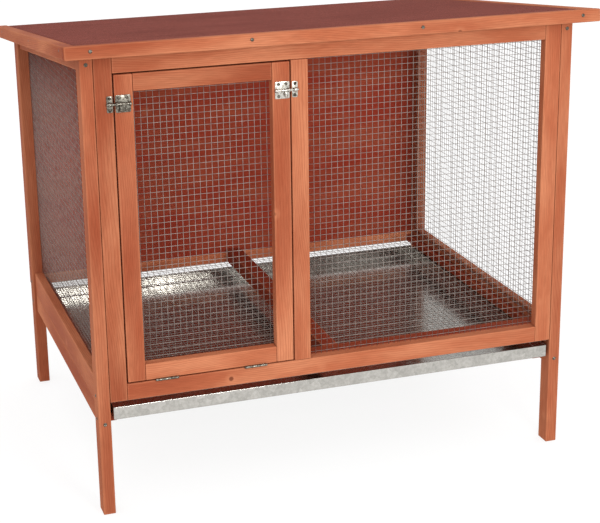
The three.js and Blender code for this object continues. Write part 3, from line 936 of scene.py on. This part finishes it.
class HUTCH_OT_tray(bpy.types.Operator):
    """Builds the galvanised pull-out tray"""

    bl_idname = "hutch.tray"
    bl_label = "Tray"

    def execute(self, context):
        settings = context.scene.hutch_tray
        low, high = node_box("tray")
        half = (high - low) / 2
        profile = pan_profile(settings, half[1] - 20 * MM, high[2] - low[2])
        inset = profile[:, 0]
        corner = np.maximum(settings.corner - inset, 0.4 * MM)
        outline = rounded_rectangle(half[0] - inset, half[1] - inset, corner)
        heights = np.broadcast_to(profile[:, 1][:, None, None] + low[2], outline.shape[:2] + (1,))
        rings = np.concatenate([outline + ((low + high) / 2)[:2], heights], -1)
        piece("tray_pan", [tube(rings).inside_out()], galvanised_sheet(), "tray", "galvanised_sheet", "tray")
        return {"FINISHED"}


# Fittings

STRAP_SHEET = 1.0 * MM
STRAP_WIDTH = 3.6 * MM
STRAP_PLACES = (0.067, 0.933)
KEEPER_STRAP_WIDTH = 7.0 * MM
PLATE_SCREW_INSETS = (7.5 * MM, 5.0 * MM)
KEEPER_SCREW_INSETS = (6.0 * MM, 4.5 * MM)
KNOB_LEAN = math.radians(16)
KNOB_PROFILE = [
    (0, 2.2), (5, 2.1), (7.2, 1.7), (8.6, 1.8), (9.6, 2.5), (11, 2.8), (12.6, 2.75), (13.8, 2.2), (14.6, 1),
]
LEAF_SHEET = 1.1 * MM
LEAF_FROM_AXIS = 0.3 * MM
PLATE_FROM_AXIS = 2.9 * MM
KNUCKLE_PLAY = 0.3 * MM
PIN_RADIUS = 1.6 * MM
PIN_PROUD = 0.3 * MM
LEAF_SCREW_PLACES = (0.2, 0.5, 0.8)
LEAF_SCREW_PROFILE = [(0, 2.4), (0.45, 2.5), (0.58, 2.3), (0.6, 1.0), (0.35, 0.5)]


def strap(centre_x, width, axis_y, axis_z, back_y, radius):
    """A strap bent over the bolt: straight out of the plate, half a turn round the bolt, and straight back
    in. Its section is a thin rectangle with blunt corners."""
    reach = radius - STRAP_SHEET / 2
    angles = np.linspace(0, np.pi, 13)
    arc = np.stack([axis_y - reach * np.sin(angles), axis_z - reach * np.cos(angles)], -1)
    foot = [[back_y, axis_z - reach]]
    head = [[back_y, axis_z + reach]]
    line = np.concatenate([foot, arc, head])
    path = np.concatenate([np.full((len(line), 1), centre_x), line], -1)
    half, thin, blunt = width / 2, STRAP_SHEET / 2, 0.25 * MM
    corner = [(half - blunt, thin), (half, thin - blunt)]
    right = np.array([corner[1], corner[0]])
    turns = [(1, 1), (-1, 1), (-1, -1), (1, -1)]
    profile = np.concatenate([(right if a * b > 0 else right[::-1]) * (a, b) for a, b in turns])
    return carried(path, X, profile)


def small_screws(places, front_y, radius=3.4 * MM, rise=1.2 * MM):
    return [screw((x, front_y, z), -Y, radius, rise) for x, z in places]


def latch_plate(node, strap_places, strap_width, screw_insets):
    """A flat plate with blunt edges and round corners, its straps, and a screw near each corner."""
    fittings = bpy.context.scene.hutch_fittings
    low, high = node_box(node)
    back = high[1]
    front = back - fittings.plate
    axis_y, axis_z = low[1] + fittings.strap_radius, (low[2] + high[2]) / 2
    block_low, block_high = (low[0], front, low[2]), (high[0], back, high[2])
    shapes = [softened_block(block_low, block_high, ALONG_Y, 0.35 * MM, fittings.plate_corner)]
    for place in strap_places:
        centre = low[0] + place * (high[0] - low[0])
        shapes.append(strap(centre, strap_width, axis_y, axis_z, back - 0.3 * MM, fittings.strap_radius))
    inset_x, inset_z = screw_insets
    columns = sorted({low[0] + inset_x, high[0] - inset_x})
    places = [(x, z) for x in columns for z in (low[2] + inset_z, high[2] - inset_z)]
    return [bare(shape) for shape in shapes], small_screws(places, front)


def bare(shape):
    """The surface without its values."""
    return Shape(shape.points, shape.quads, shape.caps)


def sliding_bolt(node, plate_node, outward):
    """A round bolt with a domed tip, and a knob that hangs from it, leaning forwards: a stem, a neck and a
    ball turned as one profile."""
    fittings = bpy.context.scene.hutch_fittings
    low, high = node_box(node)
    plate_low, plate_high = node_box(plate_node)
    axis = np.array([0, plate_low[1] + fittings.strap_radius, (plate_low[2] + plate_high[2]) / 2])
    tip, tail = (high[0], low[0]) if outward > 0 else (low[0], high[0])
    radius = fittings.bolt_radius
    shank = rod(axis + X * min(tip, tail), axis + X * max(tip, tail), radius, 1.6 * MM)
    knob_at = axis + X * (tip - outward * fittings.knob_from_tip)
    hanging = np.array([0, -math.sin(KNOB_LEAN), -math.cos(KNOB_LEAN)])
    knob = lathe(np.array(KNOB_PROFILE) * MM, knob_at, hanging)
    return [shank, knob]


class HUTCH_OT_latches(bpy.types.Operator):
    """Builds the two barrel bolts: plates, bolts and keepers"""

    bl_idname = "hutch.latches"
    bl_label = "Barrel bolts"

    def execute(self, context):
        for side, outward in (("left", -1), ("right", 1)):
            zinc = plating("worn" if side == "left" else "bright")
            steel, plate_node = "zinc_plated_steel", f"latch_plate_{side}"
            plate, screws = latch_plate(plate_node, STRAP_PLACES, STRAP_WIDTH, PLATE_SCREW_INSETS)
            piece(f"bolt_plate_{side}", plate, zinc, "door", steel, plate_node)
            piece(f"bolt_plate_screws_{side}", screws, plating("screw"), "door", steel)
            keeper_node = f"latch_keeper_{side}"
            keeper, screws = latch_plate(keeper_node, (0.5,), KEEPER_STRAP_WIDTH, KEEPER_SCREW_INSETS)
            piece(f"bolt_keeper_{side}", keeper, zinc, "hutch", steel, keeper_node)
            piece(f"bolt_keeper_screws_{side}", screws, plating("screw"), "hutch", steel)
            bolt = sliding_bolt(f"latch_bolt_{side}", plate_node, outward)
            piece(f"sliding_bolt_{side}", bolt, zinc, f"{side}_bolt", steel, f"latch_bolt_{side}")
        return {"FINISHED"}


def hinge_leaf(node, axis, knuckles, up):
    """One leaf: a thin plate with round corners, the knuckles rolled from it, a tongue under each knuckle,
    and three flush screws on its upper face where up is true, or its lower one."""
    fittings = bpy.context.scene.hutch_fittings
    low, high = node_box(node)
    radius = fittings.knuckle_radius
    near, far = LEAF_FROM_AXIS, LEAF_FROM_AXIS + LEAF_SHEET
    bottom, top = (axis[2] - far, axis[2] - near) if up else (axis[2] + near, axis[2] + far)
    plate_front = axis[1] + PLATE_FROM_AXIS
    shapes = [
        softened_block((low[0], plate_front, bottom), (high[0], high[1], top), ALONG_Z, 0.25 * MM, 1.5 * MM)
    ]
    third = (high[0] - low[0]) / 3
    for place in knuckles:
        start = low[0] + place * third + KNUCKLE_PLAY / 2
        end = low[0] + (place + 1) * third - KNUCKLE_PLAY / 2
        shapes.append(rod(axis * (Y + Z) + X * start, axis * (Y + Z) + X * end, radius, 0.5 * MM, 24))
        tongue = (start, axis[1] + 0.5 * MM, bottom), (end, plate_front + 1.5 * MM, top)
        shapes.append(softened_block(*tongue, ALONG_X, 0.2 * MM))
    surface, facing = (top, 1) if up else (bottom, -1)
    screws = []
    middle, sunk = (plate_front + high[1]) / 2, surface - facing * 0.5 * MM
    for share in LEAF_SCREW_PLACES:
        centre = (low[0] + share * (high[0] - low[0]), middle, sunk)
        screws.append(lathe(np.array(LEAF_SCREW_PROFILE) * MM, centre, Z * facing))
    return [bare(shape) for shape in shapes], screws


class HUTCH_OT_hinges(bpy.types.Operator):
    """Builds the two butt hinges under the door"""

    bl_idname = "hutch.hinges"
    bl_label = "Hinges"

    def execute(self, context):
        zinc, steel = plating("worn"), "zinc_plated_steel"
        for side in ("left", "right"):
            pin_low, pin_high = node_box(f"hinge_pin_{side}")
            axis = (pin_low + pin_high) / 2
            leaves = (("frame", "hutch", (0, 2), True), ("door", "door", (1,), False))
            for leaf, body, knuckles, up in leaves:
                node = f"hinge_{leaf}_leaf_{side}"
                shapes, screws = hinge_leaf(node, axis, knuckles, up)
                piece(f"hinge_{leaf}_plate_{side}", shapes, zinc, body, steel, node)
                piece(f"hinge_{leaf}_screws_{side}", screws, plating("screw"), body, steel)
            ends = (pin_low[0] - PIN_PROUD, pin_high[0] + PIN_PROUD)
            start, end = (axis * (Y + Z) + X * place for place in ends)
            pin = rod(start, end, PIN_RADIUS, 0.5 * MM, 16)
            piece(f"hinge_rivet_{side}", [pin], plating("screw"), "hutch", steel, f"hinge_pin_{side}")
        return {"FINISHED"}


# Screws and nails that hold the boards


SCREW_RISE = 1.3 * MM
POST_FRONT_HEIGHTS = (200 * MM, 934 * MM)
POST_SIDE_HEIGHTS = (208 * MM, 258 * MM)
FASCIA_FRONT_PLACES = (0.0447, 0.326, 0.6436, 0.963)
FASCIA_SIDE_PLACES = (0.03, 0.45, 0.9)
BACK_INSET = 12 * MM
BACK_TOP_INSET = 22 * MM
BACK_COLUMNS, BACK_ROWS = 8, 6


class HUTCH_OT_fixings(bpy.types.Operator):
    """Builds the screws and nails in the posts, fascias and back panel"""

    bl_idname = "hutch.fixings"
    bl_label = "Screws and nails"

    def execute(self, context):
        fittings, roof = context.scene.hutch_fittings, context.scene.hutch_roof
        radius, rise = fittings.screw_radius, SCREW_RISE
        screws = []
        for side in ("left", "right"):
            low, high = node_box(f"post_front_{side}")
            middle = (low[0] + high[0]) / 2
            for height in POST_FRONT_HEIGHTS:
                screws.append(screw((middle, low[1], height), -Y, radius, rise))
            outward = X * (-1 if side == "left" else 1)
            for post in (f"post_front_{side}", f"post_rear_{side}"):
                low, high = node_box(post)
                outer = low[0] if side == "left" else high[0]
                for height in POST_SIDE_HEIGHTS:
                    place = (outer, (low[1] + high[1]) / 2, height)
                    screws.append(screw(place, outward, radius * 0.85, rise))

        low, high = node_box("fascia_front", roof.pitch)
        middle = (low[2] + high[2]) / 2 + 1.5 * MM
        heads = []
        for share in FASCIA_FRONT_PLACES:
            place = (low[0] + share * (high[0] - low[0]), low[1], middle)
            heads.append(screw(place, -Y, radius * 0.9, rise))
        for side in ("left", "right"):
            low, high = node_box(f"fascia_{side}", roof.pitch)
            outer, outward = (low[0], -X) if side == "left" else (high[0], X)
            for share in FASCIA_SIDE_PLACES:
                place = (outer, low[1] + share * (high[1] - low[1]), middle + 2 * MM)
                heads.append(screw(place - BOW_ROOM * outward, outward, radius * 0.6, BOW_ROOM * 0.9))
        screws += [head.moved(lambda points: turned(points, -roof.pitch)) for head in heads]

        low, high = node_box("back_panel")
        sides = (low[0] + BACK_INSET, high[0] - BACK_INSET)
        levels = (low[2] + BACK_INSET, high[2] - BACK_TOP_INSET)
        places = [(x, z) for x in np.linspace(*sides, BACK_COLUMNS) for z in levels]
        places += [(x, z) for z in np.linspace(*levels, BACK_ROWS)[1:-1] for x in sides]
        screws += [screw((x, high[1], z), Y, radius * 0.6, rise * 0.6) for x, z in places]
        piece("frame_screws", screws, plating("screw"), "hutch", "zinc_plated_steel")
        return {"FINISHED"}


# Stage


def add_light(name, energy, size, place, target):
    """A square soft light that faces its target."""
    lamp = bpy.data.lights.new(name, "AREA")
    lamp.energy = energy
    lamp.size = size
    made = bpy.data.objects.new(name, lamp)
    bpy.context.scene.collection.objects.link(made)
    made.location = place
    made.rotation_euler = (Vector(target) - Vector(place)).to_track_quat("-Z", "Y").to_euler()


LIGHTS = {
    "key": (2.4, (-1.6, -3.4, 3.6), (0, 0, 0.5)),
    "fill": (0.7, (0.32, -2.9, 1.42), (-0.2, 0.35, 0.4)),
}


class HUTCH_OT_stage(bpy.types.Operator):
    """Builds the floor, lights, sky and camera"""

    bl_idname = "hutch.stage"
    bl_label = "Stage"

    def execute(self, context):
        scene, settings = context.scene, context.scene.hutch_stage
        scene.view_settings.view_transform = "Standard"
        half = settings.floor_size / 2
        corners = [(-half, -half, 0), (half, -half, 0), (half, half, 0), (-half, half, 0)]
        mesh = bpy.data.meshes.new("floor")
        mesh.from_pydata(corners, [], [(0, 1, 2, 3)])
        mesh.materials.append(studio_floor())
        floor = bpy.data.objects.new("floor", mesh)
        scene.collection.objects.link(floor)

        world = bpy.data.worlds.new("studio")
        world.use_nodes = True
        background = world.node_tree.nodes["Background"]
        background.inputs["Color"].default_value = (1, 1, 1, 1)
        background.inputs["Strength"].default_value = settings.sky
        scene.world = world
        for name, (size, place, target) in LIGHTS.items():
            add_light(name, getattr(settings, name), size, place, target)

        lens = bpy.data.cameras.new("camera")
        lens.sensor_width = 36
        lens.lens = settings.lens
        lens.shift_y = settings.shift
        camera = bpy.data.objects.new("camera", lens)
        scene.collection.objects.link(camera)
        turn, roll = (Matrix.Rotation(value, 4, "Z") for value in (-settings.turn, settings.roll))
        tilt = Matrix.Rotation(math.pi / 2 - settings.tilt, 4, "X")
        camera.matrix_world = Matrix.Translation(settings.eye) @ turn @ tilt @ roll
        scene.camera = camera
        return {"FINISHED"}


OPERATORS = (
    HUTCH_OT_stage,
    HUTCH_OT_posts,
    HUTCH_OT_front_frame,
    HUTCH_OT_door_frame,
    HUTCH_OT_side_boards,
    HUTCH_OT_back,
    HUTCH_OT_floor_boards,
    HUTCH_OT_roof,
    HUTCH_OT_wire_panels,
    HUTCH_OT_tray,
    HUTCH_OT_latches,
    HUTCH_OT_hinges,
    HUTCH_OT_fixings,
)


class HUTCH_PT_panel(bpy.types.Panel):
    """Lists the parts of the hutch that can be built"""

    bl_label = "Rabbit hutch"
    bl_idname = "HUTCH_PT_panel"
    bl_space_type = "VIEW_3D"
    bl_region_type = "UI"
    bl_category = "Hutch"

    def draw(self, context):
        for operator in OPERATORS:
            self.layout.operator(operator.bl_idname)
        for name, group in SETTINGS.items():
            box = self.layout.box()
            for key in group.__annotations__:
                box.prop(getattr(context.scene, name), key)


def register():
    for group in SETTINGS.values():
        bpy.utils.register_class(group)
    for name, group in SETTINGS.items():
        setattr(bpy.types.Scene, name, PointerProperty(type=group))
    for made in (*OPERATORS, HUTCH_PT_panel):
        bpy.utils.register_class(made)


def unregister():
    for made in (HUTCH_PT_panel, *reversed(OPERATORS)):
        bpy.utils.unregister_class(made)
    for name, group in SETTINGS.items():
        delattr(bpy.types.Scene, name)
        bpy.utils.unregister_class(group)


def main():
    register()
    for operator in OPERATORS:
        section, name = operator.bl_idname.split(".")
        getattr(getattr(bpy.ops, section), name)()


if __name__ == "__main__":
    main()
